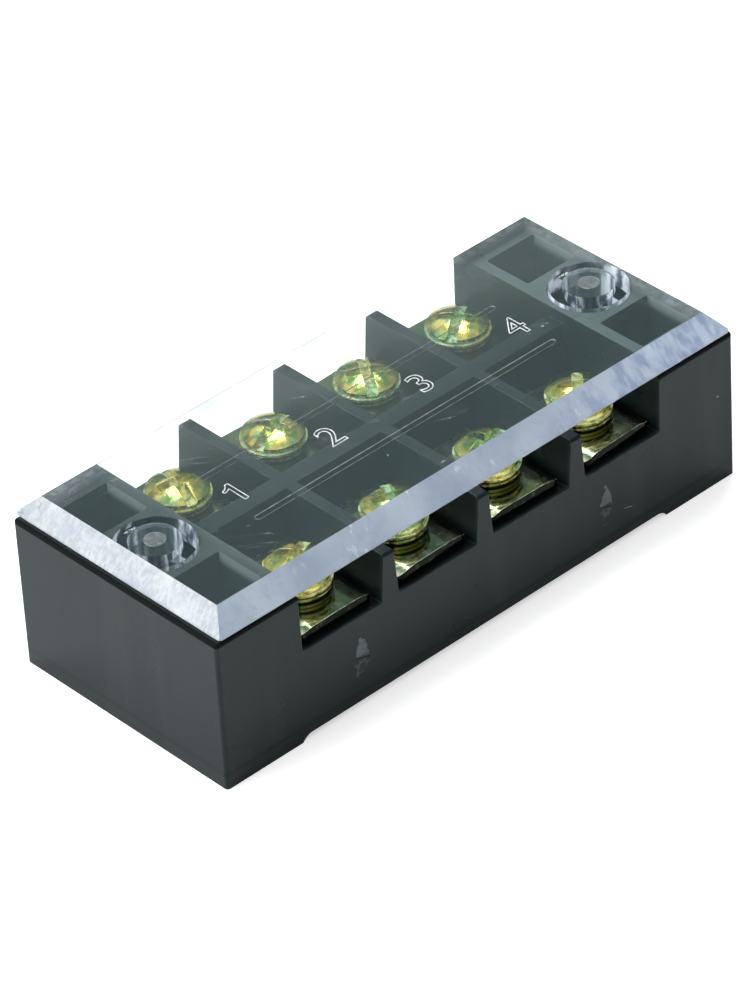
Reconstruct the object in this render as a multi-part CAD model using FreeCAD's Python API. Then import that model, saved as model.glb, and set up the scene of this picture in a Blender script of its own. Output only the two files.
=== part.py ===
import FreeCAD, Part
import math
import os

from FreeCAD import Vector

# A four-pole barrier terminal strip with a clear snap-in cover.
# Millimetres, +Z up. The origin is the centre of the underside, +X runs along the row of
# poles, and each pole has one screw on the -Y side and one on the +Y side.

# Row of poles
pole_count = 4
pole_pitch = 13.0
bay_width = 10.75
barrier_lean = 0.45
end_wall_lean = 0.12
screw_inset = 6.2

# Moulded body
body_width = 30.0
body_height = 17.8
floor_height = 10.9
barrier_height = 16.5
spine_top_width = 2.2
spine_lean = 0.4
barrier_nose = 0.3
body_corner_radius = 0.4
body_rim_radius = 0.25

# Feet at both ends, with the underside raised between them
foot_length = 10.1
foot_step = 0.7
foot_sweep_radius = 1.6

# Mounting hole and cover socket in each end block
mounting_hole_radius = 2.25
socket_radius = 4.4
socket_depth = 5.2
socket_outer_wall = 1.3
socket_inner_wall = 0.725
socket_side_wall = 0.8

# Cored pockets beside each socket
pocket_outer_wall = 2.4
pocket_inner_wall = 1.45
pocket_end_wall = 3.6
pocket_depth = 8.0
pocket_lean = 0.2
pocket_corner_radius = 0.3

# Conductor bars, let into the floor
bar_width = 8.4
bar_end_gap = 1.7
bar_thickness = 1.2
bar_fit = 0.05

# Terminal screws
thread_radius = 2.0
thread_fit = 0.05
screw_length = 7.6
head_radius = 3.3
head_rim_step = 0.2
head_rim_height = 0.5
head_side_height = 1.1
head_height = 1.95
slot_width = 1.15
slot_depth = 1.1
cross_length = 4.6
cross_width = 1.3
cross_depth = 1.5
cross_taper = 0.35
screw_well_radius = 2.7
screw_well_floor = 4.5

# Split lock washers
washer_radius = 3.4
washer_bore_radius = 2.15
washer_thickness = 1.2
washer_gap = 0.5
washer_gap_slant = 28.0

# Clamp plates, flat across their middle and bent down at both sides
plate_side_gap = 0.275
plate_depth = 10.8
plate_thickness = 1.0
plate_flat_width = 5.2
plate_edge_drop = 0.75
plate_corner_radius = 1.2
plate_hole_radius = 2.2

# Clear cover
cover_thickness = 2.3
cover_lift_off = 0.4
cover_end_setback = 0.45
cover_side_overhang = 0.12
cover_end_bevel = 1.8
cover_side_bevel = 2.2
cover_land = 0.2
cover_corner_radius = 0.5
peg_fit = 0.15
peg_wall = 1.5
peg_bore_rise = 0.8
peg_slot_width = 1.4
peg_slot_height = 4.4
peg_mark_radius = 1.13
peg_mark_depth = 0.12
groove_offset = 4.4
groove_width = 0.75
groove_depth = 0.12
groove_setback = 15.0

# How each screw slot and clamp plate happens to be turned, in degrees, poles 1 to 4
front_slot_turns = (28.0, 66.0, 12.0, 49.0)
rear_slot_turns = (75.0, 20.0, 58.0, 34.0)
front_plate_turns = (0.0, 1.5, -1.0, 2.0)
rear_plate_turns = (1.0, -2.0, 2.5, -1.5)

# Worked out from the values above
half_width = body_width / 2
screw_offset = half_width - screw_inset
row_half = ((pole_count - 1) * pole_pitch + bay_width) / 2
end_block_length = socket_inner_wall + 2 * socket_radius + socket_outer_wall
half_length = row_half + end_block_length
socket_x = half_length - socket_outer_wall - socket_radius
socket_floor = body_height - socket_depth
bar_bottom = floor_height - bar_thickness
bar_half_length = half_width - bar_end_gap
plate_width = bay_width - 2 * plate_side_gap
plate_flat = plate_flat_width / 2
plate_run = plate_width / 2 - plate_flat
plate_bend = (plate_run**2 + plate_edge_drop**2) / (2 * plate_edge_drop)
plate_bend_angle = math.asin(plate_run / plate_bend)
plate_rise = (plate_bend - plate_thickness) * (1 - math.cos(plate_bend_angle))
plate_bottom = floor_height + plate_rise
washer_bottom = plate_bottom + plate_thickness
head_bottom = washer_bottom + washer_thickness
cover_bottom = body_height + cover_lift_off
cover_top = cover_bottom + cover_thickness
past = 1.0


def box(x0, x1, y0, y1, z0, z1):
    return Part.makeBox(x1 - x0, y1 - y0, z1 - z0, Vector(x0, y0, z0))


def cylinder(radius, x, y, z0, z1):
    return Part.makeCylinder(radius, z1 - z0, Vector(x, y, z0))


def tapered(lower, upper):
    """The flat-sided solid between two level rectangles, each given as (x0, x1, y0, y1, z)."""
    x0, x1, y0, y1, z0 = lower
    x2, x3, y2, y3, z1 = upper
    wedge = Part.makeWedge(x0, z0, -y1, -y3, x2, x1, z1, -y0, -y2, x3)
    wedge.rotate(Vector(0, 0, 0), Vector(1, 0, 0), 90)
    return wedge


def point_on_circle(cx, cz, radius, angle):
    """A point in the XZ plane on a circle, with its angle in radians from +X towards +Z."""
    return Vector(cx + radius * math.cos(angle), 0, cz + radius * math.sin(angle))


def is_upright(edge):
    """True for an edge that climbs, whether or not it leans."""
    a, b = (v.Point for v in edge.Vertexes)
    return abs(a.z - b.z) > max(abs(a.x - b.x), abs(a.y - b.y))


def round_edges(solid, radius, wanted):
    edges = [e for e in solid.Edges if len(e.Vertexes) == 2 and wanted(e)]
    return solid.makeFillet(radius, edges)


def pole_places():
    """Pole number and centre of each pole, from -X to +X."""
    first = -(pole_count - 1) * pole_pitch / 2
    return [(i + 1, first + i * pole_pitch) for i in range(pole_count)]


def body_block():
    """The outer form, drawn from the front with its feet and drawn out across the width."""
    foot_end = half_length - foot_length
    drop = foot_sweep_radius - foot_step
    run = math.sqrt(foot_sweep_radius**2 - drop**2)
    arch_end = foot_end - run
    start = math.atan2(drop, run)
    middle = (start + math.pi / 2) / 2
    right_middle = point_on_circle(arch_end, -drop, foot_sweep_radius, middle)
    left_middle = Vector(-right_middle.x, 0, right_middle.z)
    right_foot = Vector(foot_end, 0, 0)
    left_foot = Vector(-foot_end, 0, 0)
    right_arch = Vector(arch_end, 0, foot_step)
    left_arch = Vector(-arch_end, 0, foot_step)
    corners = [
        right_foot,
        Vector(half_length, 0, 0),
        Vector(half_length, 0, body_height),
        Vector(-half_length, 0, body_height),
        Vector(-half_length, 0, 0),
        left_foot,
    ]
    edges = [Part.makeLine(a, b) for a, b in zip(corners, corners[1:])]
    edges.append(Part.Arc(left_foot, left_middle, left_arch).toShape())
    edges.append(Part.makeLine(left_arch, right_arch))
    edges.append(Part.Arc(right_arch, right_middle, right_foot).toShape())
    face = Part.Face(Part.Wire(Part.__sortEdges__(edges)))
    face.translate(Vector(0, -half_width, 0))
    block = face.extrude(Vector(0, body_width, 0))
    block = round_edges(block, body_corner_radius, is_upright)

    def on_rim(edge):
        return all(abs(v.Z - body_height) < 1e-6 for v in edge.Vertexes)

    return round_edges(block, body_rim_radius, on_rim)


def bay(x, side, low_lean, high_lean):
    """The open space of one terminal, from the floor to the barrier tops, past the outer face."""
    half = bay_width / 2
    spine_top = spine_top_width / 2
    levels = []
    for z, share in ((floor_height, 0.0), (barrier_height, 1.0)):
        inner = spine_top + spine_lean * (1 - share)
        y0, y1 = sorted((side * inner, side * (half_width + past)))
        levels.append((x - half - low_lean * share, x + half + high_lean * share, y0, y1, z))
    return tapered(*levels)


def space_over_barriers():
    """Everything above the barriers and the spine, between the two end blocks."""
    top = body_height + past
    slope = end_wall_lean / (barrier_height - floor_height)
    levels = []
    for z in (barrier_height, top):
        x = row_half + slope * (z - floor_height)
        levels.append((-x, x, -half_width - past, half_width + past, z))
    return tapered(*levels)


def barrier_nose_cut(side):
    """A small bevel on the outer top corner of every barrier."""
    y = side * half_width
    outline = [
        Vector(-row_half, y, barrier_height),
        Vector(-row_half, y - side * barrier_nose, barrier_height),
        Vector(-row_half, y, barrier_height - barrier_nose),
    ]
    face = Part.Face(Part.makePolygon(outline + outline[:1]))
    return face.extrude(Vector(2 * row_half, 0, 0))


def pocket(end, side):
    """A cored pocket in the end block, between the socket's wall and the outer wall."""
    x_near = row_half + pocket_inner_wall
    x_far = half_length - pocket_outer_wall
    y_near = socket_radius + socket_side_wall
    y_far = half_width - pocket_end_wall
    levels = []
    for z, inset in ((body_height - pocket_depth, pocket_lean), (body_height + past, 0.0)):
        xs = sorted((end * (x_near + inset), end * (x_far - inset)))
        ys = sorted((side * (y_near + inset), side * (y_far - inset)))
        levels.append((*xs, *ys, z))
    return round_edges(tapered(*levels), pocket_corner_radius, is_upright)


def base_body():
    cuts = [space_over_barriers(), barrier_nose_cut(-1), barrier_nose_cut(1)]
    for number, x in pole_places():
        low_lean = end_wall_lean if number == 1 else barrier_lean
        high_lean = end_wall_lean if number == pole_count else barrier_lean
        bar_half = bar_width / 2 + bar_fit
        bar_reach = bar_half_length + bar_fit
        cuts.append(box(x - bar_half, x + bar_half, -bar_reach, bar_reach, bar_bottom, floor_height + bar_fit))
        for side in (-1, 1):
            cuts.append(bay(x, side, low_lean, high_lean))
            cuts.append(cylinder(screw_well_radius, x, side * screw_offset, screw_well_floor, floor_height))
    for end in (-1, 1):
        cuts.append(cylinder(mounting_hole_radius, end * socket_x, 0, -past, body_height))
        cuts.append(cylinder(socket_radius, end * socket_x, 0, socket_floor, body_height + past))
        for side in (-1, 1):
            cuts.append(pocket(end, side))
    body = body_block()
    for cut in cuts:
        body = body.cut(cut)
    return body


def conductor(x):
    """A flat bar across one pole, tapped for its two screws."""
    bar = box(x - bar_width / 2, x + bar_width / 2, -bar_half_length, bar_half_length, bar_bottom, floor_height)
    for side in (-1, 1):
        hole = cylinder(thread_radius + thread_fit, x, side * screw_offset, bar_bottom - past, floor_height + past)
        bar = bar.cut(hole)
    return bar


def clamp_plate(x, y, turn):
    """A pressed plate that bends down along its two sides, with rounded corners and a screw hole."""
    centre_height = plate_thickness - plate_bend

    def bent_edge(radius, side):
        angles = [math.pi / 2 - share * plate_bend_angle for share in (0, 0.5, 1)]
        points = [point_on_circle(plate_flat, centre_height, radius, angle) for angle in angles]
        return [Vector(side * p.x, 0, p.z) for p in points]

    edges = []
    tips = []
    for radius in (plate_bend, plate_bend - plate_thickness):
        left, right = bent_edge(radius, -1), bent_edge(radius, 1)
        edges.append(Part.Arc(*left).toShape())
        edges.append(Part.makeLine(left[0], right[0]))
        edges.append(Part.Arc(*right).toShape())
        tips.append((left[2], right[2]))
    for high, low in zip(*tips):
        edges.append(Part.makeLine(high, low))
    section = Part.Face(Part.Wire(Part.__sortEdges__(edges)))
    section.translate(Vector(0, -plate_depth / 2, 0))
    sheet = section.extrude(Vector(0, plate_depth, 0))
    across, along = plate_width / 2, plate_depth / 2
    outline = box(-across, across, -along, along, -past, plate_thickness + past)
    outline = round_edges(outline, plate_corner_radius, is_upright)
    plate = sheet.common(outline).cut(cylinder(plate_hole_radius, 0, 0, -past, plate_thickness + past))
    plate.rotate(Vector(0, 0, 0), Vector(0, 0, 1), turn)
    plate.translate(Vector(x, y, plate_bottom))
    return plate


def lock_washer(x, y, turn):
    """A spring washer pressed flat, split by one slanting gap."""
    ring = cylinder(washer_radius, 0, 0, 0, washer_thickness)
    ring = ring.cut(cylinder(washer_bore_radius, 0, 0, -past, washer_thickness + past))
    middle = washer_thickness / 2
    reach = washer_thickness + past
    gap = box(0, washer_radius + past, -washer_gap / 2, washer_gap / 2, middle - reach, middle + reach)
    gap.rotate(Vector(0, 0, middle), Vector(1, 0, 0), washer_gap_slant)
    ring = ring.cut(gap)
    ring.rotate(Vector(0, 0, 0), Vector(0, 0, 1), turn)
    ring.translate(Vector(x, y, washer_bottom))
    return ring


def cross_arm():
    """One arm of the cross recess, narrower and shorter at its bottom."""
    levels = []
    for z, inset in ((head_height - cross_depth, cross_taper), (head_height + past, 0.0)):
        length = cross_length / 2 - inset
        width = cross_width / 2 - inset / 2
        levels.append((-length, length, -width, width, z))
    return tapered(*levels)


def terminal_screw(x, y, turn):
    """A pan-head screw turned in one piece, with a rim round its head and a slot across its cross recess."""
    crown = head_height - head_side_height
    dome = (head_radius**2 + crown**2) / (2 * crown)
    dome_centre = head_height - dome
    dome_start = math.acos(head_radius / dome)
    outline = [
        Vector(0, 0, -screw_length),
        Vector(thread_radius, 0, -screw_length),
        Vector(thread_radius, 0, 0),
        Vector(head_radius + head_rim_step, 0, 0),
        Vector(head_radius + head_rim_step, 0, head_rim_height),
        Vector(head_radius, 0, head_rim_height),
        Vector(head_radius, 0, head_side_height),
    ]
    edges = [Part.makeLine(a, b) for a, b in zip(outline, outline[1:])]
    middle = point_on_circle(0, dome_centre, dome, (dome_start + math.pi / 2) / 2)
    top = Vector(0, 0, head_height)
    edges.append(Part.Arc(outline[-1], middle, top).toShape())
    edges.append(Part.makeLine(top, outline[0]))
    profile = Part.Face(Part.Wire(edges))
    screw = profile.revolve(Vector(0, 0, 0), Vector(0, 0, 1), 360)
    reach = head_radius + head_rim_step + past
    slot = box(-reach, reach, -slot_width / 2, slot_width / 2, head_height - slot_depth, head_height + past)
    across = cross_arm()
    across.rotate(Vector(0, 0, 0), Vector(0, 0, 1), 90)
    for recess in (slot, cross_arm(), across):
        screw = screw.cut(recess)
    screw.rotate(Vector(0, 0, 0), Vector(0, 0, 1), turn)
    screw.translate(Vector(x, y, head_bottom))
    return screw


def cover_peg(x):
    """A peg that stands on the socket's floor, split by one slot so that it springs."""
    radius = socket_radius - peg_fit
    peg = cylinder(radius, x, 0, socket_floor, cover_bottom)
    half_slot = peg_slot_width / 2
    slot_top = socket_floor + peg_slot_height
    return peg.cut(box(x - half_slot, x + half_slot, -radius - past, radius + past, socket_floor - past, slot_top))


def peg_core(x):
    """The peg's bore, which runs a little way up into the plate and ends in a small round mark."""
    bore = socket_radius - peg_fit - peg_wall
    ceiling = cover_bottom + peg_bore_rise
    return cylinder(bore, x, 0, socket_floor - past, ceiling).fuse(
        cylinder(peg_mark_radius, x, 0, socket_floor, ceiling + peg_mark_depth)
    )


def groove(y):
    """A shallow round-ended groove in the cover's underside, along one row of screws."""
    reach = half_length - groove_setback
    half = groove_width / 2
    top = cover_bottom + groove_depth
    straight = box(-reach + half, reach - half, y - half, y + half, cover_bottom - past, top)
    ends = [cylinder(half, end * (reach - half), y, cover_bottom - past, top) for end in (-1, 1)]
    return straight.fuse(ends).removeSplitter()


def clear_cover():
    """A flat clear plate with sloping sides and a peg at each end."""
    length = half_length - cover_end_setback
    width = half_width + cover_side_overhang
    land_top = cover_bottom + cover_land
    land = box(-length, length, -width, width, cover_bottom, land_top)
    top_length = length - cover_end_bevel
    top_width = width - cover_side_bevel
    bevelled = tapered(
        (-length, length, -width, width, land_top),
        (-top_length, top_length, -top_width, top_width, cover_top),
    )
    outline = box(-length, length, -width, width, cover_bottom, cover_top)
    outline = round_edges(outline, cover_corner_radius, is_upright)
    plate = land.fuse(bevelled).removeSplitter().common(outline)
    for side in (-1, 1):
        plate = plate.cut(groove(side * groove_offset))
    for end in (-1, 1):
        plate = plate.fuse(cover_peg(end * socket_x))
        plate = plate.cut(peg_core(end * socket_x))
    return plate.removeSplitter()


def export(shape, node):
    solids = shape.Solids
    solid = solids[0] if len(solids) == 1 else shape
    solid.exportStep(f"parts/{node}.step")
    print(f"{node}: {len(solids)} solid, {shape.Volume:.2f} mm3, valid {shape.isValid()}")


def main():
    os.makedirs("parts", exist_ok=True)
    export(base_body(), "base_body")
    export(clear_cover(), "clear_cover")
    rows = (("front", -1, front_slot_turns, front_plate_turns), ("rear", 1, rear_slot_turns, rear_plate_turns))
    for number, x in pole_places():
        export(conductor(x), f"conductor_{number}")
        for row, side, slot_turns, plate_turns in rows:
            y = side * screw_offset
            slot_turn = slot_turns[(number - 1) % len(slot_turns)]
            plate_turn = plate_turns[(number - 1) % len(plate_turns)]
            export(clamp_plate(x, y, plate_turn), f"clamp_plate_{row}_{number}")
            export(lock_washer(x, y, slot_turn), f"lock_washer_{row}_{number}")
            export(terminal_screw(x, y, slot_turn), f"terminal_screw_{row}_{number}")


main()
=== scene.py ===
"""The dressed barrier terminal strip: finishes, cover numerals, studio, lamps and camera. Metres, +Z up."""

import math

import bpy
from mathutils import Matrix, Vector

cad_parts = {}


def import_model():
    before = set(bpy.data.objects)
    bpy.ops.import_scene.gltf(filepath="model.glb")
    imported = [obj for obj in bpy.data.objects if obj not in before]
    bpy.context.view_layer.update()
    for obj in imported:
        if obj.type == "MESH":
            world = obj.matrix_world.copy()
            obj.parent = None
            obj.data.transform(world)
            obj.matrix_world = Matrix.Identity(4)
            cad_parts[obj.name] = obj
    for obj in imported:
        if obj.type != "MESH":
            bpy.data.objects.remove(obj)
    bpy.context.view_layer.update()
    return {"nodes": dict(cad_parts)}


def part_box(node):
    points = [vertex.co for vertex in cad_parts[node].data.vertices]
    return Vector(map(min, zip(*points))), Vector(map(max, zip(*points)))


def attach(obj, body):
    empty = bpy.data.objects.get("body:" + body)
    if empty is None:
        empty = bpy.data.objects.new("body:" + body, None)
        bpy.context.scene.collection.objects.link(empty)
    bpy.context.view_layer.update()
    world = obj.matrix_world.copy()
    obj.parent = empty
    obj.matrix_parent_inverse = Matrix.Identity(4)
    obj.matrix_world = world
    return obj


MM = 0.001

# The view of the photograph, in degrees and millimetres, aimed at AIM_HEIGHT above the origin
VIEW_AZIMUTH = -41.374
VIEW_ELEVATION = 36.524
VIEW_ROLL = -3.434
VIEW_DISTANCE = 579.543
VIEW_SLIDE_RIGHT = -0.829
VIEW_SLIDE_UP = -1.344
AIM_HEIGHT = 10.0
LENS = 205.77

# Pole numerals on the underside of the cover
NUMERAL_HEIGHT = 3.2 * MM
NUMERAL_STROKE = 0.07 * MM
NUMERAL_OFFSETS = (0.35 * MM, 0.2 * MM, -0.3 * MM, 0.1 * MM)
NUMERAL_FORWARD = 0.35 * MM
# The numeral 1 with its flag, as shares of the numeral height
ONE_OUTLINE = (
    (0.0, 0.0), (0.13, 0.0), (0.15, 0.03), (0.15, 0.97), (0.12, 1.0), (0.03, 1.0), (-0.03, 0.90),
    (-0.13, 0.82), (-0.25, 0.78), (-0.26, 0.72), (-0.22, 0.68), (-0.12, 0.70), (0.0, 0.77), (-0.01, 0.02),
)

# The cover's underside over the body's top, and the width of its slopes as seen from above
COVER_LIFT_OFF = 0.4 * MM
SIDE_SLOPE = 2.38 * MM
END_SLOPE = 2.0 * MM
# Where its pegs stand, how far their bores' ends are above its underside, and how squarely a peg's wall must face
# left or right to light up
PEG_X = 30.0 * MM
PEG_MARK_RISE = 0.8 * MM
PEG_LIT_SHARE = 0.12
LEFT_RIGHT = (0.75, -0.66, 0.0)
# The cover's mesh takes its materials in this order
CLEAR, SIDE_SLOPES, END_SLOPES, LIT_PEGS, FINE_LINES, MARK_ENDS = range(6)

# The body: a darker line low on its sides, where the end blocks begin, and the pockets in them, measured from its
# middle
LOW_DARK_LINE_HEIGHT = 1.8 * MM
END_BLOCK_X = 25.5 * MM
POCKET_END_X = 34.0 * MM
POCKET_Y = (5.0 * MM, 11.6 * MM)

# The rubbed marks on the front face as x and z, their half sizes, and the short scratch beside one of them
RUBBED_MARKS = ((-17.3 * MM, 5.9 * MM), (16.9 * MM, 5.75 * MM))
MARK_HALF_HEIGHT = 2.6 * MM
MARK_HALF_WIDTH = 1.0 * MM
FRONT_SCRATCH = (20.1 * MM, 4.0 * MM)

# The terminal screws: spacing and first place along the row, the rows' distance from the middle, and the thread
POLE_PITCH = 13.0 * MM
FIRST_POLE_X = -19.5 * MM
SCREW_ROW_Y = 8.8 * MM
SHANK_RADIUS = 2.0 * MM
THREAD_PITCH = 0.7 * MM
THREAD_TOP = 13.6 * MM

# Marks on each clamp plate, measured from its screw's axis: a round stain and a bright arc of painted reflection
STAIN_PLACE = (3.7 * MM, -2.7 * MM)
ARC_RADIUS = 5.65 * MM

SMOOTH_ANGLE = math.radians(32)


# Node helpers


def feed(tree, socket, value):
    """Links a socket to another node's output, or gives it a value of its own."""
    if isinstance(value, bpy.types.NodeSocket):
        tree.links.new(value, socket)
    elif socket.type == "RGBA":
        socket.default_value = (*value[:3], 1.0)
    else:
        socket.default_value = value


def add_node(tree, kind, settings=None, **values):
    """A node of that kind, with its properties from settings and its sockets from values."""
    node = tree.nodes.new(kind)
    for key, value in (settings or {}).items():
        setattr(node, key, value)
    set_sockets(tree, node, **values)
    return node


def set_sockets(tree, node, **values):
    """Feeds a node's sockets by name, with _ for a space."""
    for key, value in values.items():
        feed(tree, node.inputs[key.replace("_", " ")], value)


def math_node(tree, operation, *values):
    node = tree.nodes.new("ShaderNodeMath")
    node.operation = operation
    for socket, value in zip(node.inputs, values):
        feed(tree, socket, value)
    return node.outputs[0]


def times(tree, first, *others):
    for value in others:
        first = math_node(tree, "MULTIPLY", first, value)
    return first


def plus(tree, first, second):
    return math_node(tree, "ADD", first, second)


def minus(tree, first, second):
    return math_node(tree, "SUBTRACT", first, second)


def larger(tree, first, second):
    return math_node(tree, "MAXIMUM", first, second)


def distance(tree, value, middle):
    """How far a value is from the middle, either way."""
    return math_node(tree, "ABSOLUTE", minus(tree, value, middle))


def ramp(tree, value, low, high, to_low=0.0, to_high=1.0, smooth=True):
    """value mapped from low..high to to_low..to_high, held at both ends."""
    node = tree.nodes.new("ShaderNodeMapRange")
    node.interpolation_type = "SMOOTHSTEP" if smooth else "LINEAR"
    set_sockets(tree, node, Value=value, From_Min=low, From_Max=high, To_Min=to_low, To_Max=to_high)
    return node.outputs[0]


def mix_colour(tree, share, first, second):
    node = tree.nodes.new("ShaderNodeMix")
    node.data_type = "RGBA"
    for index, value in ((0, share), (6, first), (7, second)):
        feed(tree, node.inputs[index], value)
    return node.outputs[2]


def noise(tree, vector, scale, detail, **values):
    """A noise mask, finer with a larger scale and busier with more detail."""
    return add_node(tree, "ShaderNodeTexNoise", Vector=vector, Scale=scale, Detail=detail, **values).outputs[0]


def vector_math(tree, operation, vector, factors):
    node = add_node(tree, "ShaderNodeVectorMath", {"operation": operation})
    feed(tree, node.inputs[0], vector)
    feed(tree, node.inputs[1], factors)
    return node.outputs


def stretch(tree, vector, factors):
    """The vector with each axis scaled, so that a pattern drawn on it grows longer where a factor is small."""
    return vector_math(tree, "MULTIPLY", vector, factors)[0]


def facing(tree, vector, direction):
    """How squarely two vectors point the same way."""
    return vector_math(tree, "DOT_PRODUCT", vector, direction)["Value"]


def split(tree, vector):
    """A vector's x, y and z."""
    return tuple(add_node(tree, "ShaderNodeSeparateXYZ", Vector=vector).outputs)


def point(tree):
    """The point on the piece in the row frame, in metres."""
    return tree.nodes.new("ShaderNodeTexCoord").outputs["Object"]


def surface(tree, name):
    return tree.nodes.new("ShaderNodeNewGeometry").outputs[name]


def bump(tree, height, strength, depth, **values):
    return add_node(tree, "ShaderNodeBump", Height=height, Strength=strength, Distance=depth, **values).outputs[0]


def new_group(name, inputs, outputs):
    """An empty shader group with named sockets: (name, kind, default) for inputs, (name, kind) for outputs."""
    tree = bpy.data.node_groups.new(name, "ShaderNodeTree")
    for label, kind, default in inputs:
        socket = tree.interface.new_socket(label, in_out="INPUT", socket_type="NodeSocket" + kind)
        if default is not None:
            socket.default_value = default
    for label, kind in outputs:
        tree.interface.new_socket(label, in_out="OUTPUT", socket_type="NodeSocket" + kind)
    return tree, tree.nodes.new("NodeGroupInput").outputs, tree.nodes.new("NodeGroupOutput").inputs


def use_group(tree, group, **values):
    return add_node(tree, "ShaderNodeGroup", {"node_tree": group}, **values).outputs


def new_material(name):
    material = bpy.data.materials.new(name)
    material.use_nodes = True
    tree = material.node_tree
    tree.nodes.clear()
    shader = tree.nodes.new("ShaderNodeBsdfPrincipled")
    output = tree.nodes.new("ShaderNodeOutputMaterial")
    tree.links.new(shader.outputs[0], output.inputs["Surface"])
    return material, tree, shader, output


# Effects shared by several finishes


def edge_group():
    """Edge: 1 where the surface turns a corner within Radius. Normal: the surface with that corner rounded."""
    tree, inputs, outputs = new_group(
        "rounded_edges", [("Radius", "Float", 0.1 * MM)], [("Edge", "Float"), ("Normal", "Vector")]
    )
    rounded = add_node(tree, "ShaderNodeBevel", {"samples": 6}, Radius=inputs["Radius"]).outputs[0]
    same = facing(tree, rounded, surface(tree, "Normal"))
    tree.links.new(ramp(tree, same, 0.99, 0.85), outputs["Edge"])
    tree.links.new(rounded, outputs["Normal"])
    return tree


def speck_group():
    """Mask: a few small round specks, of Size as a share of their spacing, on Share of the places."""
    tree, inputs, outputs = new_group(
        "specks",
        [("Vector", "Vector", None), ("Scale", "Float", 300.0), ("Size", "Float", 0.12), ("Share", "Float", 0.1)],
        [("Mask", "Float")],
    )
    cells = add_node(tree, "ShaderNodeTexVoronoi", Vector=inputs["Vector"], Scale=inputs["Scale"])
    near = math_node(tree, "LESS_THAN", cells.outputs["Distance"], inputs["Size"])
    chosen = add_node(tree, "ShaderNodeSeparateColor", Color=cells.outputs["Color"]).outputs[0]
    kept = math_node(tree, "LESS_THAN", chosen, inputs["Share"])
    tree.links.new(times(tree, near, kept), outputs["Mask"])
    return tree


def scratch_group():
    """Mask: fine straight scratches that run along Angle, broken up by noise. Amount sets how many there are."""
    tree, inputs, outputs = new_group(
        "scratches",
        [("Vector", "Vector", None), ("Angle", "Float", 0.0), ("Scale", "Float", 300.0), ("Amount", "Float", 0.5)],
        [("Mask", "Float")],
    )
    turned = add_node(
        tree, "ShaderNodeVectorRotate", {"rotation_type": "Z_AXIS"}, Vector=inputs["Vector"], Angle=inputs["Angle"]
    )
    fine = noise(tree, stretch(tree, turned.outputs[0], (0.04, 1.0, 1.0)), inputs["Scale"], 4.0)
    patches = noise(tree, inputs["Vector"], 220.0, 2.0)
    width = times(tree, inputs["Amount"], ramp(tree, patches, 0.45, 0.7), 0.03)
    outside = math_node(tree, "DIVIDE", distance(tree, fine, 0.5), plus(tree, width, 1e-5))
    tree.links.new(ramp(tree, outside, 1.0, 0.4), outputs["Mask"])
    return tree


def screw_place_group():
    """A point measured from the nearest screw's axis: Radius and Height in metres, and Turn in radians."""
    tree, inputs, outputs = new_group(
        "from_screw_axis",
        [
            ("Vector", "Vector", None),
            ("Pitch", "Float", POLE_PITCH),
            ("First", "Float", FIRST_POLE_X),
            ("Row", "Float", SCREW_ROW_Y),
        ],
        [("Radius", "Float"), ("Turn", "Float"), ("Height", "Float")],
    )
    along_row, across_row, height = split(tree, inputs["Vector"])
    half = times(tree, inputs["Pitch"], 0.5)
    x = math_node(tree, "WRAP", minus(tree, along_row, inputs["First"]), half, times(tree, half, -1.0))
    y = minus(tree, across_row, times(tree, math_node(tree, "SIGN", across_row), inputs["Row"]))
    square = plus(tree, times(tree, x, x), times(tree, y, y))
    tree.links.new(math_node(tree, "SQRT", square), outputs["Radius"])
    tree.links.new(math_node(tree, "ARCTAN2", y, x), outputs["Turn"])
    tree.links.new(height, outputs["Height"])
    return tree


def passivate_group():
    """Colour: yellow passivated zinc, drifting between gold, green and grey. Drift: its fine grain."""
    tree, inputs, outputs = new_group(
        "passivated_zinc",
        [
            ("Vector", "Vector", None),
            ("Scale", "Float", 450.0),
            ("Gold", "Color", (0.80, 0.66, 0.22, 1)),
            ("Green", "Color", (0.38, 0.52, 0.26, 1)),
            ("Grey", "Color", (0.62, 0.66, 0.60, 1)),
            ("Greyness", "Float", 0.3),
        ],
        [("Colour", "Color"), ("Drift", "Float")],
    )
    wide = noise(tree, inputs["Vector"], inputs["Scale"], 2.0, Distortion=1.2)
    fine = noise(tree, inputs["Vector"], times(tree, inputs["Scale"], 3.3), 4.0)
    colour = mix_colour(tree, ramp(tree, wide, 0.38, 0.62), inputs["Gold"], inputs["Green"])
    worn = times(tree, ramp(tree, fine, 0.42, 0.66), inputs["Greyness"])
    tree.links.new(mix_colour(tree, worn, colour, inputs["Grey"]), outputs["Colour"])
    tree.links.new(fine, outputs["Drift"])
    return tree


# Finishes


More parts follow.
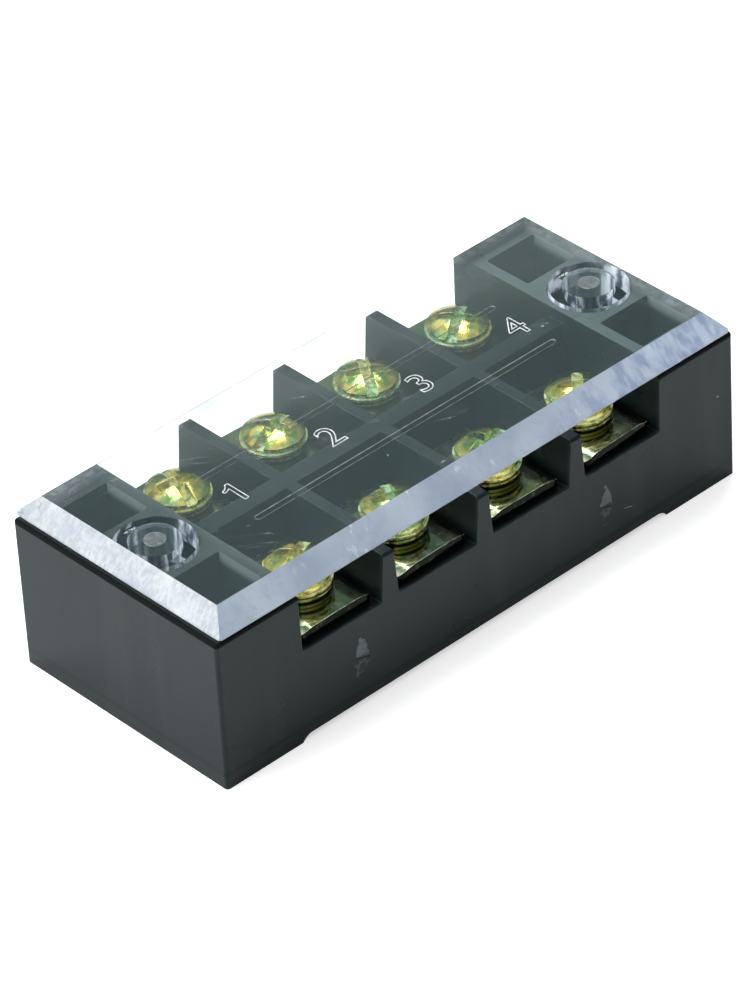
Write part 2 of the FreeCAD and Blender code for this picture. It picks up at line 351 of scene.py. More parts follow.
def rubbed_mark(tree, x, z, grain, fine_grain, mark_x, mark_z):
    """One rubbed oval, solid above and mottled below, and the thin step across its middle, painted dark as shade."""
    along = math_node(tree, "DIVIDE", minus(tree, z, mark_z), MARK_HALF_HEIGHT)
    across = math_node(tree, "DIVIDE", minus(tree, x, mark_x), MARK_HALF_WIDTH)
    slant = minus(tree, across, times(tree, along, 0.15))
    narrow = minus(tree, 1.0, times(tree, larger(tree, along, 0.0), 0.35))
    across = math_node(tree, "DIVIDE", slant, narrow)
    out = plus(tree, times(tree, across, across), times(tree, along, along))
    ragged = plus(tree, out, ramp(tree, grain, 0.3, 0.7, -0.4, 0.4, smooth=False))
    solid = times(tree, ramp(tree, along, 0.06, 0.14), ramp(tree, fine_grain, 0.35, 0.6, 0.65, 1.0))
    mottled = times(tree, ramp(tree, fine_grain, 0.44, 0.60), 0.42)
    oval = times(tree, ramp(tree, ragged, 1.0, 0.75), larger(tree, solid, mottled))
    step = math_node(tree, "ABSOLUTE", plus(tree, along, times(tree, across, 0.11)))
    step = times(tree, ramp(tree, step, 0.065, 0.03), ramp(tree, ragged, 1.1, 0.9))
    return times(tree, oval, minus(tree, 1.0, step)), step


def short_scratch(tree, x, z):
    """The short slanting scratch on the front."""
    along = minus(tree, x, FRONT_SCRATCH[0])
    up = minus(tree, z, FRONT_SCRATCH[1])
    off_line = math_node(tree, "ABSOLUTE", plus(tree, up, times(tree, along, 0.3)))
    ends = ramp(tree, math_node(tree, "ABSOLUTE", along), 0.7 * MM, 0.4 * MM)
    return times(tree, ramp(tree, off_line, 0.09 * MM, 0.03 * MM), ends)


def body_finish(effects, body_box):
    """Black moulded plastic: soft streaks, a few specks, two rubbed ovals on its front, and painted light and shade."""
    half_length, half_width, top = body_box[1]
    material, tree, shader, _ = new_material("black_moulding")
    vector = point(tree)
    x, y, z = split(tree, vector)
    far_out = math_node(tree, "ABSOLUTE", x)
    aside = math_node(tree, "ABSOLUTE", y)
    normal_x, _, normal_z = split(tree, surface(tree, "Normal"))
    front = ramp(tree, y, body_box[0][1] + 0.1 * MM, body_box[0][1] + 0.02 * MM)
    edges = use_group(tree, effects["edges"], Radius=0.14 * MM)

    # The plain plastic, with upright streaks and a darker line low on the sides
    broad = noise(tree, vector, 90.0, 3.0)
    streak = noise(tree, stretch(tree, vector, (1.0, 1.0, 0.12)), 260.0, 3.0)
    base = mix_colour(tree, ramp(tree, broad, 0.3, 0.7), (0.011, 0.017, 0.018), (0.016, 0.023, 0.024))
    base = mix_colour(tree, ramp(tree, streak, 0.5, 0.8, 0.0, 0.25), base, (0.04, 0.05, 0.05))
    low_dark_line = ramp(tree, distance(tree, z, LOW_DARK_LINE_HEIGHT), 0.45 * MM, 0.05 * MM)
    base = mix_colour(tree, times(tree, low_dark_line, 0.6), base, (0.005, 0.007, 0.007))

    # Painted light: the pockets' walls that face the left are painted pale near their mouths, as if lit from the left
    painted_lit_mouth = times(
        tree,
        ramp(tree, z, top - 1.7 * MM, top - 0.5 * MM),
        math_node(tree, "LESS_THAN", normal_x, -0.7),
        math_node(tree, "GREATER_THAN", aside, POCKET_Y[0]),
        math_node(tree, "LESS_THAN", aside, POCKET_Y[1]),
        math_node(tree, "GREATER_THAN", far_out, END_BLOCK_X + 0.1 * MM),
        math_node(tree, "LESS_THAN", far_out, POCKET_END_X),
    )
    base = mix_colour(tree, painted_lit_mouth, base, (0.19, 0.235, 0.23))

    # Painted light and shade: top faces painted paler, less so at the near end, and the walls in the bays painted dark
    # as shade
    painted_light_top = times(tree, ramp(tree, normal_z, 0.8, 0.95), ramp(tree, z, top - 0.3 * MM, top - 0.15 * MM))
    near_end = ramp(tree, x, -24.0 * MM, -26.5 * MM)
    painted_top_colour = mix_colour(tree, near_end, (0.064, 0.084, 0.082), (0.026, 0.032, 0.030))
    base = mix_colour(tree, painted_light_top, base, painted_top_colour)
    in_bays = ramp(tree, far_out, END_BLOCK_X - 0.3 * MM, END_BLOCK_X - 0.6 * MM)
    off_the_sides = ramp(tree, aside, half_width - 0.2 * MM, half_width - 0.6 * MM)
    painted_bay_shade = times(tree, off_the_sides, in_bays, minus(tree, 1.0, painted_light_top))
    base = mix_colour(tree, painted_bay_shade, base, (0.006, 0.009, 0.009))

    # Marks on the front
    grain = noise(tree, vector, 1300.0, 3.0)
    fine_grain = noise(tree, vector, 2300.0, 2.0)
    marks = [rubbed_mark(tree, x, z, grain, fine_grain, *place) for place in RUBBED_MARKS]
    rubbed, shaded = (larger(tree, *masks) for masks in zip(*marks))
    rubbed = times(tree, rubbed, front)
    base = mix_colour(tree, rubbed, base, (0.118, 0.145, 0.15))
    # Painted shade along the step across each oval
    base = mix_colour(tree, times(tree, shaded, front), base, (0.001, 0.001, 0.001))
    base = mix_colour(tree, times(tree, short_scratch(tree, x, z), front), base, (0.16, 0.16, 0.17))
    brushed = times(tree, ramp(tree, streak, 0.45, 0.65), ramp(tree, x, 22.0 * MM, 27.0 * MM), front, 0.1)
    base = mix_colour(tree, brushed, base, (0.05, 0.058, 0.065))
    specks = use_group(tree, effects["specks"], Vector=vector, Scale=240.0, Size=0.028, Share=0.10)["Mask"]
    base = mix_colour(tree, times(tree, specks, 0.7), base, (0.45, 0.48, 0.48))

    # Painted highlights on the edges and the barriers' sloping rims, and painted shadow in the gap under the cover
    outer_ends = ramp(tree, far_out, half_length - 0.5 * MM, half_length - 0.3 * MM)
    outer_sides = ramp(tree, aside, half_width - 0.4 * MM, half_width - 0.2 * MM)
    under_cover = ramp(tree, z, top - 0.55 * MM, top - 0.35 * MM)
    shadow_gap = times(tree, larger(tree, outer_ends, outer_sides), under_cover)
    painted_edge_highlight = times(tree, edges["Edge"], minus(tree, 0.5, times(tree, shadow_gap, 0.5)))
    base = mix_colour(tree, painted_edge_highlight, base, (0.10, 0.12, 0.12))
    base = mix_colour(tree, shadow_gap, base, (0.002, 0.002, 0.002))
    # Painted highlight on the barriers' sloping rims
    rim = times(
        tree,
        ramp(tree, normal_z, 0.15, 0.4),
        ramp(tree, normal_z, 0.97, 0.85),
        ramp(tree, math_node(tree, "ABSOLUTE", normal_x), 0.2, 0.4),
        ramp(tree, z, top - 0.5 * MM, top - 0.3 * MM),
        ramp(tree, far_out, END_BLOCK_X + 0.3 * MM, END_BLOCK_X),
        0.85,
    )
    base = mix_colour(tree, rim, base, (0.24, 0.28, 0.275))

    rough = plus(tree, ramp(tree, broad, 0.3, 0.7, 0.26, 0.36), times(tree, rubbed, 0.2))
    rough = larger(tree, rough, times(tree, shadow_gap, 0.9))
    height = plus(tree, times(tree, noise(tree, vector, 2600.0, 2.0), 0.05), rubbed)
    set_sockets(
        tree,
        shader,
        Base_Color=base,
        Roughness=rough,
        IOR=1.5,
        Specular_IOR_Level=0.22,
        Specular_Tint=(0.82, 0.98, 1.0),
        Normal=bump(tree, height, 0.12, 0.05 * MM, Normal=edges["Normal"]),
    )
    return material


def let_lamps_through(tree, shader, output):
    """Lamp light and bounced light pass the clear plastic, as they do in thin clear parts."""
    path = tree.nodes.new("ShaderNodeLightPath")
    share = larger(tree, path.outputs["Is Shadow Ray"], path.outputs["Is Diffuse Ray"])
    clear = add_node(tree, "ShaderNodeBsdfTransparent", Color=(0.93, 0.95, 0.96))
    mix = tree.nodes.new("ShaderNodeMixShader")
    tree.links.new(share, mix.inputs[0])
    tree.links.new(shader.outputs[0], mix.inputs[1])
    tree.links.new(clear.outputs[0], mix.inputs[2])
    tree.links.new(mix.outputs[0], output.inputs["Surface"])


def clear_finish(effects, cover_box):
    """Polished clear plastic with faint scratches. Along the back and the far end of its top, scuffs glow as painted
    light, and a faint glow of painted light grows on its top to the back and the far end."""
    back_line = cover_box[1][1] - SIDE_SLOPE
    far_line = cover_box[1][0] - END_SLOPE
    material, tree, shader, output = new_material("clear_plastic")
    vector = point(tree)
    x, y, z = split(tree, vector)
    scratches = use_group(tree, effects["scratches"], Vector=vector, Angle=0.6, Scale=520.0, Amount=0.10)["Mask"]
    dust = use_group(tree, effects["specks"], Vector=vector, Scale=420.0, Size=0.07, Share=0.09)["Mask"]
    marks = larger(tree, scratches, dust)
    edges = use_group(tree, effects["edges"], Radius=0.12 * MM)
    # Painted shade: the cover's rounded edges are tinted dark, and a dark line is painted along the back edge of its
    # top
    clear = mix_colour(tree, edges["Edge"], (0.95, 0.975, 0.97), (0.30, 0.34, 0.38))
    uneven = noise(tree, vector, 130.0, 3.0)
    back_edge = ramp(tree, y, back_line - 0.05 * MM, back_line + 0.05 * MM)
    back_edge = times(tree, back_edge, ramp(tree, uneven, 0.35, 0.65, 0.5, 0.95))

    # Painted light: the scuffs along the back and the far end of the top glow
    mottle = noise(tree, vector, 900.0, 4.0, Roughness=0.7)
    near_back = ramp(tree, y, back_line - 1.7 * MM, back_line - 0.3 * MM)
    near_far_end = ramp(tree, x, far_line - 1.9 * MM, far_line - 0.5 * MM)
    scuff_glow = times(tree, larger(tree, near_back, near_far_end), ramp(tree, mottle, 0.35, 0.65, 0.25, 1.0))
    corner = times(
        tree,
        ramp(tree, y, back_line - 6.0 * MM, back_line - 1.0 * MM),
        ramp(tree, x, -24.0 * MM, -27.0 * MM),
        ramp(tree, mottle, 0.55, 0.72),
    )
    on_top = math_node(tree, "GREATER_THAN", z, cover_box[1][2] - 0.05 * MM)
    scuff_glow = times(tree, larger(tree, scuff_glow, corner), on_top)
    # Painted light: a faint glow standing in for the veil of reflected light on the top
    painted_veil = times(
        tree,
        ramp(tree, y, -8.0 * MM, 12.0 * MM),
        ramp(tree, x, -30.0 * MM, -5.0 * MM, 0.1, 1.0),
        ramp(tree, uneven, 0.35, 0.65, 0.75, 1.0),
        on_top,
    )
    glow_colour = mix_colour(tree, painted_veil, (0.004, 0.007, 0.010), (0.048, 0.060, 0.060))
    set_sockets(
        tree,
        shader,
        Base_Color=mix_colour(tree, back_edge, clear, (0.22, 0.25, 0.27)),
        Emission_Color=mix_colour(tree, scuff_glow, glow_colour, (0.15, 0.17, 0.18)),
        Emission_Strength=1.0,
        Roughness=ramp(tree, marks, 0.0, 1.0, 0.02, 0.22, smooth=False),
        IOR=1.57,
        Transmission_Weight=1.0,
    )
    let_lamps_through(tree, shader, output)
    return material


def side_bevel_finish():
    """The cover's long slopes: clear plastic with scuffs in calm blue grey, with short marks across it and pale bands
    at the far end. The pale blue grey is partly the scuffs and partly a painted reflection of the bright studio."""
    material, tree, shader, _ = new_material("scuffed_side_with_painted_reflection")
    vector = point(tree)
    x = split(tree, vector)[0]
    soft = noise(tree, vector, 150.0, 3.0)
    colour = mix_colour(tree, ramp(tree, soft, 0.3, 0.7), (0.36, 0.44, 0.56), (0.54, 0.63, 0.74))
    across = stretch(tree, vector, (1.0, 0.45, 0.45))
    thin = noise(tree, across, 1600.0, 3.0)
    patches = noise(tree, vector, 170.0, 1.0)
    marks = times(
        tree,
        ramp(tree, thin, 0.50, 0.72),
        ramp(tree, patches, 0.50, 0.62),
        ramp(tree, x, 24.0 * MM, 8.0 * MM, 0.15, 0.45),
    )
    colour = mix_colour(tree, marks, colour, (0.74, 0.81, 0.90))
    clouds = noise(tree, vector, 700.0, 4.0, Roughness=0.65)
    colour = mix_colour(tree, ramp(tree, clouds, 0.50, 0.72, 0.0, 0.35), colour, (0.30, 0.37, 0.48))
    banded = noise(tree, across, 460.0, 3.0, Roughness=0.6)
    bands = mix_colour(tree, ramp(tree, banded, 0.38, 0.60), (0.27, 0.35, 0.54), (0.58, 0.68, 0.82))
    set_sockets(
        tree,
        shader,
        Base_Color=mix_colour(tree, ramp(tree, x, 2.0 * MM, 24.0 * MM, 0.0, 0.75), colour, bands),
        Roughness=ramp(tree, marks, 0.0, 1.0, 0.22, 0.4, smooth=False),
        IOR=1.5,
        Transmission_Weight=0.25,
        Normal=bump(tree, soft, 0.2, 0.06 * MM),
    )
    return material


def end_bevel_finish(effects):
    """The cover's short slopes: brushed, finely mottled pale grey that is partly painted reflection, bluish patches,
    scratches at the back.
    """
    material, tree, shader, _ = new_material("brushed_end_with_painted_reflection")
    vector = point(tree)
    y = split(tree, vector)[1]
    mottle = noise(tree, stretch(tree, vector, (0.6, 1.0, 0.6)), 2000.0, 4.0, Roughness=0.7)
    wide = noise(tree, vector, 200.0, 2.0)
    pale = mix_colour(tree, ramp(tree, mottle, 0.38, 0.62), (0.42, 0.465, 0.505), (0.57, 0.61, 0.64))
    pale = mix_colour(tree, ramp(tree, wide, 0.52, 0.72, 0.0, 0.6), pale, (0.38, 0.43, 0.52))
    pale = mix_colour(tree, ramp(tree, wide, 0.48, 0.30, 0.0, 0.5), pale, (0.78, 0.81, 0.83))
    scratched = use_group(tree, effects["scratches"], Vector=vector, Angle=1.1, Scale=700.0, Amount=1.4)["Mask"]
    scratched = times(tree, scratched, ramp(tree, y, 9.5 * MM, 11.5 * MM), 0.7)
    set_sockets(
        tree,
        shader,
        Base_Color=mix_colour(tree, scratched, pale, (0.22, 0.28, 0.42)),
        Roughness=0.42,
        IOR=1.5,
        Specular_IOR_Level=0.25,
        Transmission_Weight=0.25,
        Normal=bump(tree, mottle, 0.2, 0.05 * MM),
    )
    return material


def numeral_finish():
    """The fine raised outlines of the numerals and of the cover's grooves, painted pale as the light they catch."""
    material, tree, shader, _ = new_material("raised_outline")
    glints = noise(tree, point(tree), 1500.0, 2.0)
    set_sockets(
        tree,
        shader,
        Base_Color=mix_colour(tree, ramp(tree, glints, 0.4, 0.65), (0.55, 0.56, 0.56), (0.95, 0.95, 0.93)),
        Roughness=ramp(tree, glints, 0.3, 0.7, 0.25, 0.5),
    )
    return material


def plate_marks(tree, effects, vector, colour):
    """A clamp plate's marks on top of its colour: a round stain, painted reflections on a corner and in an arc at its
    left, darker upright faces, and a painted highlight along its front edge, which also comes back as a mask."""
    centre = use_group(tree, effects["from_screw"], Vector=vector)
    across = times(tree, centre["Radius"], math_node(tree, "COSINE", centre["Turn"]))
    along = times(tree, centre["Radius"], math_node(tree, "SINE", centre["Turn"]))
    grain = noise(tree, vector, 1500.0, 3.0)

    aside = minus(tree, across, STAIN_PLACE[0])
    ahead = minus(tree, along, STAIN_PLACE[1])
    away = math_node(tree, "SQRT", plus(tree, times(tree, aside, aside), times(tree, ahead, ahead)))
    stain = ramp(tree, away, 1.9 * MM, 1.5 * MM)
    colour = mix_colour(tree, times(tree, stain, 0.5), colour, (0.15, 0.135, 0.14))

    # Painted reflections: a bright patch at the front left corner and a bright arc left of the screw
    painted_corner_reflection = times(
        tree,
        ramp(tree, across, -3.6 * MM, -4.5 * MM),
        ramp(tree, along, -4.0 * MM, -4.8 * MM),
        ramp(tree, grain, 0.35, 0.5, 0.5, 1.0),
    )
    arc = times(
        tree,
        ramp(tree, distance(tree, centre["Radius"], ARC_RADIUS), 0.22 * MM, 0.07 * MM),
        ramp(tree, across, -1.5 * MM, -2.3 * MM),
        math_node(tree, "LESS_THAN", along, -3.0 * MM),
    )
    colour = mix_colour(tree, larger(tree, painted_corner_reflection, arc), colour, (0.66, 0.70, 0.50))

    upright = math_node(tree, "ABSOLUTE", split(tree, surface(tree, "True Normal"))[2])
    # The plate's upright faces are darker
    dark_upright_colour = mix_colour(tree, ramp(tree, grain, 0.55, 0.75), (0.003, 0.005, 0.003), (0.05, 0.06, 0.04))
    colour = mix_colour(tree, ramp(tree, upright, 0.4, 0.2), colour, dark_upright_colour)

    # Painted highlight: a bright line along the front edge
    line = times(
        tree,
        use_group(tree, effects["edges"], Radius=0.15 * MM)["Edge"],
        ramp(tree, along, -4.7 * MM, -5.0 * MM),
        ramp(tree, upright, 0.4, 0.6),
        ramp(tree, grain, 0.35, 0.55, 0.45, 1.0),
    )
    return mix_colour(tree, line, colour, (0.90, 0.90, 0.66)), line


def add_glints(tree, vector, z, drift, glints, colour):
    """Painted highlights: bright bands at those heights, green in some places and yellow in others, and their mask."""
    shine = ramp(tree, drift, 0.35, 0.6, 0.3, 0.9)
    slow = noise(tree, vector, 95.0, 1.0)
    glint = mix_colour(tree, ramp(tree, slow, 0.42, 0.56), (0.52, 0.76, 0.46), (0.90, 0.88, 0.40))
    bright = 0.0
    for height, half in glints:
        away = distance(tree, z, height * MM)
        band = times(tree, ramp(tree, away, half * MM, half * 0.7 * MM), shine)
        colour = mix_colour(tree, band, colour, glint)
        bright = larger(tree, bright, band)
    return colour, bright


def thread_ridges(tree, effects, vector):
    """The screw thread as a height: ridges that climb round the shank under the head."""
    centre = use_group(tree, effects["from_screw"], Vector=vector)
    turns = math_node(tree, "DIVIDE", centre["Turn"], 2 * math.pi)
    rise = minus(tree, math_node(tree, "DIVIDE", centre["Height"], THREAD_PITCH), turns)
    on_shank = ramp(tree, centre["Radius"], SHANK_RADIUS + 0.15 * MM, SHANK_RADIUS + 0.05 * MM)
    below_head = ramp(tree, centre["Height"], THREAD_TOP, THREAD_TOP - 0.2 * MM)
    return times(tree, math_node(tree, "PINGPONG", rise, 0.5), on_shank, below_head)


def metal_finish(
    name, effects, rough, scale, colours, greyness, edge_wear_and_glint, painted_shade_bands=(), glints=(), lumps=0.3, threaded=False, plate=False
):
    """A yellow passivated steel piece from (gold, green, grey) colours, brighter on its edges, partly wear and partly a
    painted highlight, with painted glints and shade, each given as the height of its middle and its half width in
    millimetres."""
    material, tree, shader, _ = new_material(name)
    vector = point(tree)
    z = split(tree, vector)[2]
    gold, green, grey = colours
    coat = use_group(
        tree, effects["zinc"], Vector=vector, Scale=scale, Gold=gold, Green=green, Grey=grey, Greyness=greyness
    )
    edges = use_group(tree, effects["edges"], Radius=0.07 * MM)
    # Edges brighter: partly wear, partly a painted highlight
    colour = mix_colour(tree, times(tree, edges["Edge"], edge_wear_and_glint), coat["Colour"], (0.95, 0.92, 0.70))
    bright = None
    if plate:
        colour, bright = plate_marks(tree, effects, vector, colour)
    if glints:
        colour, bright = add_glints(tree, vector, z, coat["Drift"], glints, colour)
    # Painted shade: dark bands at given heights, under the head's rim and between the stacked pieces
    for height, half in painted_shade_bands:
        away = distance(tree, z, height * MM)
        colour = mix_colour(tree, ramp(tree, away, half * MM, half * 0.6 * MM), colour, (0.015, 0.016, 0.008))

    scratches = use_group(tree, effects["scratches"], Vector=vector, Angle=0.3, Scale=900.0, Amount=0.7)["Mask"]
    drift = ramp(tree, coat["Drift"], 0.35, 0.7, rough, rough + 0.12)
    height = times(tree, coat["Drift"], lumps)
    if threaded:
        height = plus(tree, height, times(tree, thread_ridges(tree, effects, vector), 14.0))
    # The painted highlights and glints are less metallic, so they show bright
    set_sockets(
        tree,
        shader,
        Base_Color=colour,
        Metallic=1.0 if bright is None else minus(tree, 1.0, times(tree, bright, 0.6)),
        Roughness=plus(tree, drift, times(tree, scratches, 0.15)),
        Normal=bump(tree, height, 0.5, 0.05 * MM, Normal=edges["Normal"]),
    )
    return material


def peg_finish():
    """The left and right sides of the pegs' outer walls, painted bluish white and glowing as painted light."""
    material, tree, shader, _ = new_material("lit_clear_peg")
    streaks = noise(tree, stretch(tree, point(tree), (1.0, 1.0, 0.25)), 700.0, 3.0)
    sideways = math_node(tree, "ABSOLUTE", facing(tree, surface(tree, "Normal"), LEFT_RIGHT))
    lit = times(tree, ramp(tree, sideways, PEG_LIT_SHARE + 0.02, 0.8), ramp(tree, streaks, 0.3, 0.6, 0.35, 0.9))
    set_sockets(
        tree,
        shader,
        Base_Color=mix_colour(tree, ramp(tree, streaks, 0.38, 0.58), (0.22, 0.29, 0.44), (0.93, 0.96, 1.0)),
        Roughness=0.15,
        IOR=1.57,
        Transmission_Weight=0.1,
        Emission_Color=mix_colour(tree, ramp(tree, streaks, 0.42, 0.62), (0.0, 0.0, 0.0), (0.30, 0.34, 0.40)),
        Emission_Strength=1.0,
        Alpha=lit,
    )
    return material


def mark_finish():
    """The round end of each peg's bore, lightly frosted."""
    material, tree, shader, _ = new_material("frosted_mark")
    grain = noise(tree, point(tree), 2500.0, 3.0)
    set_sockets(
        tree,
        shader,
        Base_Color=mix_colour(tree, ramp(tree, grain, 0.35, 0.65), (0.34, 0.37, 0.37), (0.48, 0.51, 0.50)),
        Roughness=0.5,
        Alpha=ramp(tree, grain, 0.3, 0.7, 0.22, 0.30),
    )
    return material


# Pieces


def dress(node, material):
    """Gives a CAD node its finish and smooth shading within each surface."""
    node.data.materials.clear()
    node.data.materials.append(material)
    node.data.shade_smooth()
    node.data.set_sharp_from_angle(angle=SMOOTH_ANGLE)


def dress_cover(cover, side_bevel, end_bevel, lit_peg, fine_line, mark, cover_bottom):
    """Own finishes for the cover's slopes and thin rim, the walls of its grooves and marks, the marks' ends, and its
    pegs' left and right."""
    mesh = cover.data
    for material in (side_bevel, end_bevel, lit_peg, fine_line, mark):
        mesh.materials.append(material)
    half_length = max(v.co.x for v in mesh.vertices)
    half_width = max(v.co.y for v in mesh.vertices)
    mark_height = cover_bottom + PEG_MARK_RISE
    for face in mesh.polygons:
        x, y, z = face.center
        across, along = face.normal.x, face.normal.y
        upright = abs(face.normal.z) < 0.2
        sloping = 0.2 < face.normal.z < 0.95 and z > cover_bottom
        rim = upright and (abs(x) > half_length - 1.0 * MM or abs(y) > half_width - 1.0 * MM)
        outward = across * (x - math.copysign(PEG_X, x)) + along * y > 0
        sideways = abs(LEFT_RIGHT[0] * across + LEFT_RIGHT[1] * along) > PEG_LIT_SHARE
        if sloping or rim:
            face.material_index = END_SLOPES if abs(across) > abs(along) else SIDE_SLOPES
        elif upright and z > cover_bottom:
            in_line = abs(x) < PEG_X - 5 * MM or z > mark_height
            face.material_index = FINE_LINES if in_line else CLEAR
        elif upright and outward and sideways:
            face.material_index = LIT_PEGS
        elif face.normal.z < -0.9 and z > mark_height + 0.05 * MM:
            face.material_index = MARK_ENDS


def numeral(text, x, y, z, material):
    """A digit drawn as one fine raised line round its outline, on the cover's underside."""
    if text == "1":
        curve = bpy.data.curves.new("pole_numeral_1", "CURVE")
        line = curve.splines.new("POLY")
        line.points.add(len(ONE_OUTLINE) - 1)
        for corner, (across, up) in zip(line.points, ONE_OUTLINE):
            corner.co = (across * NUMERAL_HEIGHT, up * NUMERAL_HEIGHT, 0, 1)
        line.use_cyclic_u = True
        curve.dimensions = "3D"
    else:
        curve = bpy.data.curves.new(f"pole_numeral_{text}", "FONT")
        curve.body = text
        curve.align_x = "CENTER"
        curve.resolution_u = 6
    curve.fill_mode = "FULL" if text == "1" else "NONE"
    curve.bevel_depth = NUMERAL_STROKE
    curve.bevel_resolution = 1
    piece = bpy.data.objects.new(f"pole_numeral_{text}", curve)
    bpy.context.scene.collection.objects.link(piece)
    bpy.context.view_layer.update()
    if text != "1":
        curve.size = NUMERAL_HEIGHT / piece.dimensions.y
        bpy.context.view_layer.update()
    piece.location = (x, y - NUMERAL_HEIGHT / 2, z)
    curve.materials.append(material)
    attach(piece, "cover")


# Studio


def straight_through(tree):
    """1 for what the eye sees directly or straight through clear plastic, and 0 for light and reflections."""
    path = tree.nodes.new("ShaderNodeLightPath")
    seen = larger(tree, path.outputs["Is Camera Ray"], path.outputs["Is Transmission Ray"])
    turned = plus(tree, path.outputs["Glossy Depth"], path.outputs["Diffuse Depth"])
    return times(tree, seen, math_node(tree, "LESS_THAN", turned, 0.5))


def floor(size=6.0):
    """A white floor that keeps the object's soft shadow and looks white to the eye and through clear plastic."""
    mesh = bpy.data.meshes.new("studio_floor")
    half = size / 2
    mesh.from_pydata([(-half, -half, 0), (half, -half, 0), (half, half, 0), (-half, half, 0)], [], [(0, 1, 2, 3)])
    piece = bpy.data.objects.new("studio_floor", mesh)
    bpy.context.scene.collection.objects.link(piece)
    piece.location.z = -0.02 * MM
    material, tree, shader, output = new_material("white_floor")
    set_sockets(tree, shader, Base_Color=(0.80, 0.80, 0.80), Roughness=0.9)
    glow = add_node(tree, "ShaderNodeEmission", Strength=times(tree, straight_through(tree), 0.55))
    both = tree.nodes.new("ShaderNodeAddShader")
    tree.links.new(shader.outputs[0], both.inputs[0])
    tree.links.new(glow.outputs[0], both.inputs[1])
    tree.links.new(both.outputs[0], output.inputs["Surface"])
    mesh.materials.append(material)


def sky(low=0.06, high=1.0):
    """White to the eye and through clear plastic. For light and reflections it is a soft studio: pale overhead
    and towards the back left, dim low down at the front right, with a dim cool patch at the back right."""
    world = bpy.data.worlds.new("studio_sky")
    bpy.context.scene.world = world
    world.use_nodes = True
    tree = world.node_tree
    tree.nodes.clear()
    direction = tree.nodes.new("ShaderNodeTexCoord").outputs["Generated"]
    towards_pale = facing(tree, direction, Vector((-0.45, 0.35, 0.82)).normalized())
    towards_patch = facing(tree, direction, Vector((0.55, 0.62, 0.56)).normalized())
    patch = ramp(tree, towards_patch, 0.72, 0.95)
    dimmed = minus(tree, 1.0, times(tree, patch, 0.45))
    studio = times(tree, ramp(tree, towards_pale, -0.2, 0.95, low, high), dimmed)
    seen = straight_through(tree)
    cool = mix_colour(tree, patch, (1.0, 1.0, 1.0), (0.74, 1.0, 0.92))
    light = add_node(
        tree,
        "ShaderNodeBackground",
        Strength=larger(tree, studio, seen),
        Color=mix_colour(tree, seen, cool, (1.0, 1.0, 1.0)),
    )
    output = tree.nodes.new("ShaderNodeOutputWorld")
    tree.links.new(light.outputs[0], output.inputs["Surface"])


def soft_lamp(name, at, size, power):
    """A square lamp aimed at the origin."""
    lamp = bpy.data.lights.new(name, "AREA")
    lamp.shape = "SQUARE"
    lamp.size = size
    lamp.energy = power
    piece = bpy.data.objects.new(name, lamp)
    bpy.context.scene.collection.objects.link(piece)
    piece.location = at
    piece.rotation_euler = (-Vector(at)).to_track_quat("-Z", "Y").to_euler()


def camera():
    """The photograph's view: an orbit round the part, a small slide and roll, and a long lens."""
    a, e, r = (math.radians(v) for v in (VIEW_AZIMUTH, VIEW_ELEVATION, VIEW_ROLL))
    back = Vector((math.sin(a) * math.cos(e), -math.cos(a) * math.cos(e), math.sin(e)))
    right = Vector((0, 0, 1)).cross(back).normalized()
    up = back.cross(right)
    place_at = Vector((0, 0, AIM_HEIGHT)) + VIEW_SLIDE_RIGHT * right + VIEW_SLIDE_UP * up + VIEW_DISTANCE * back
    rolled_right = math.cos(r) * right + math.sin(r) * up
    rolled_up = math.cos(r) * up - math.sin(r) * right
    lens = bpy.data.cameras.new("camera")
    lens.lens = LENS
    lens.clip_start = 0.01
    eye = bpy.data.objects.new("camera", lens)
    bpy.context.scene.collection.objects.link(eye)
    turn = Matrix((rolled_right, rolled_up, back)).transposed().to_4x4()
    eye.matrix_world = Matrix.Translation(place_at * MM) @ turn
    bpy.context.scene.camera = eye


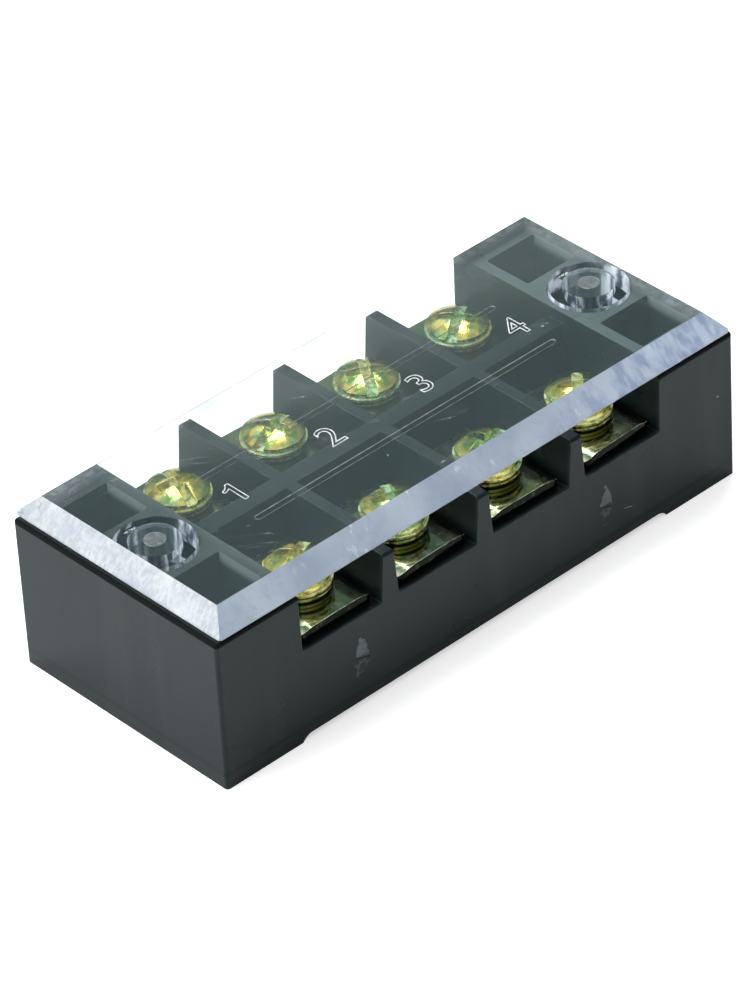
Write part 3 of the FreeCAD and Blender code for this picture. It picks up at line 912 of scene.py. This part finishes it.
def make_finishes(effects, body_box):
    """One finish for each kind of piece, by the first part of its name."""
    return {
        "base_body": body_finish(effects, body_box),
        "clear_cover": clear_finish(effects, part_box("clear_cover")),
        "conductor": metal_finish(
            "plated_brass",
            effects,
            rough=0.22,
            scale=300.0,
            colours=((0.45, 0.38, 0.14), (0.30, 0.32, 0.16), (0.40, 0.40, 0.34)),
            greyness=0.4,
            edge_wear_and_glint=0.3,
        ),
        "clamp_plate": metal_finish(
            "plate_zinc",
            effects,
            rough=0.08,
            scale=240.0,
            colours=((0.30, 0.305, 0.135), (0.13, 0.21, 0.13), (0.28, 0.29, 0.26)),
            greyness=0.5,
            edge_wear_and_glint=0.4,
            plate=True,
        ),
        "lock_washer": metal_finish(
            "washer_zinc",
            effects,
            rough=0.12,
            scale=380.0,
            colours=((0.66, 0.54, 0.07), (0.24, 0.42, 0.13), (0.55, 0.60, 0.50)),
            greyness=0.2,
            edge_wear_and_glint=0.4,
            painted_shade_bands=((13.07, 0.24), (12.50, 0.05)),
            glints=((13.50, 0.16),),
        ),
        "terminal_screw": metal_finish(
            "screw_zinc",
            effects,
            rough=0.10,
            scale=460.0,
            colours=((0.66, 0.50, 0.06), (0.20, 0.36, 0.07), (0.80, 0.80, 0.60)),
            greyness=0.25,
            edge_wear_and_glint=0.35,
            painted_shade_bands=((13.74, 0.06),),
            glints=((14.30, 0.46),),
            lumps=1.3,
            threaded=True,
        ),
    }


def main():
    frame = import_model()
    nodes = frame["nodes"]
    body_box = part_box("base_body")
    cover_bottom = body_box[1][2] + COVER_LIFT_OFF
    effects = {
        "edges": edge_group(),
        "specks": speck_group(),
        "scratches": scratch_group(),
        "zinc": passivate_group(),
        "from_screw": screw_place_group(),
    }
    finishes = make_finishes(effects, body_box)
    for name, node in nodes.items():
        kind = next(k for k in finishes if name.startswith(k))
        dress(node, finishes[kind])
    outline = numeral_finish()
    slopes = side_bevel_finish(), end_bevel_finish(effects)
    dress_cover(nodes["clear_cover"], *slopes, peg_finish(), outline, mark_finish(), cover_bottom)

    for number, shift in enumerate(NUMERAL_OFFSETS, start=1):
        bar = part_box(f"conductor_{number}")
        centre = (bar[0][0] + bar[1][0]) / 2
        numeral(str(number), centre + shift, NUMERAL_FORWARD, cover_bottom, outline)

    floor()
    sky()
    soft_lamp("key_lamp", (-0.9, 0.35, 0.9), 0.8, 14.0)
    soft_lamp("top_lamp", (0.38, 0.43, 1.11), 0.55, 9.0)
    camera()
    bpy.context.scene.view_settings.view_transform = "Standard"


main()
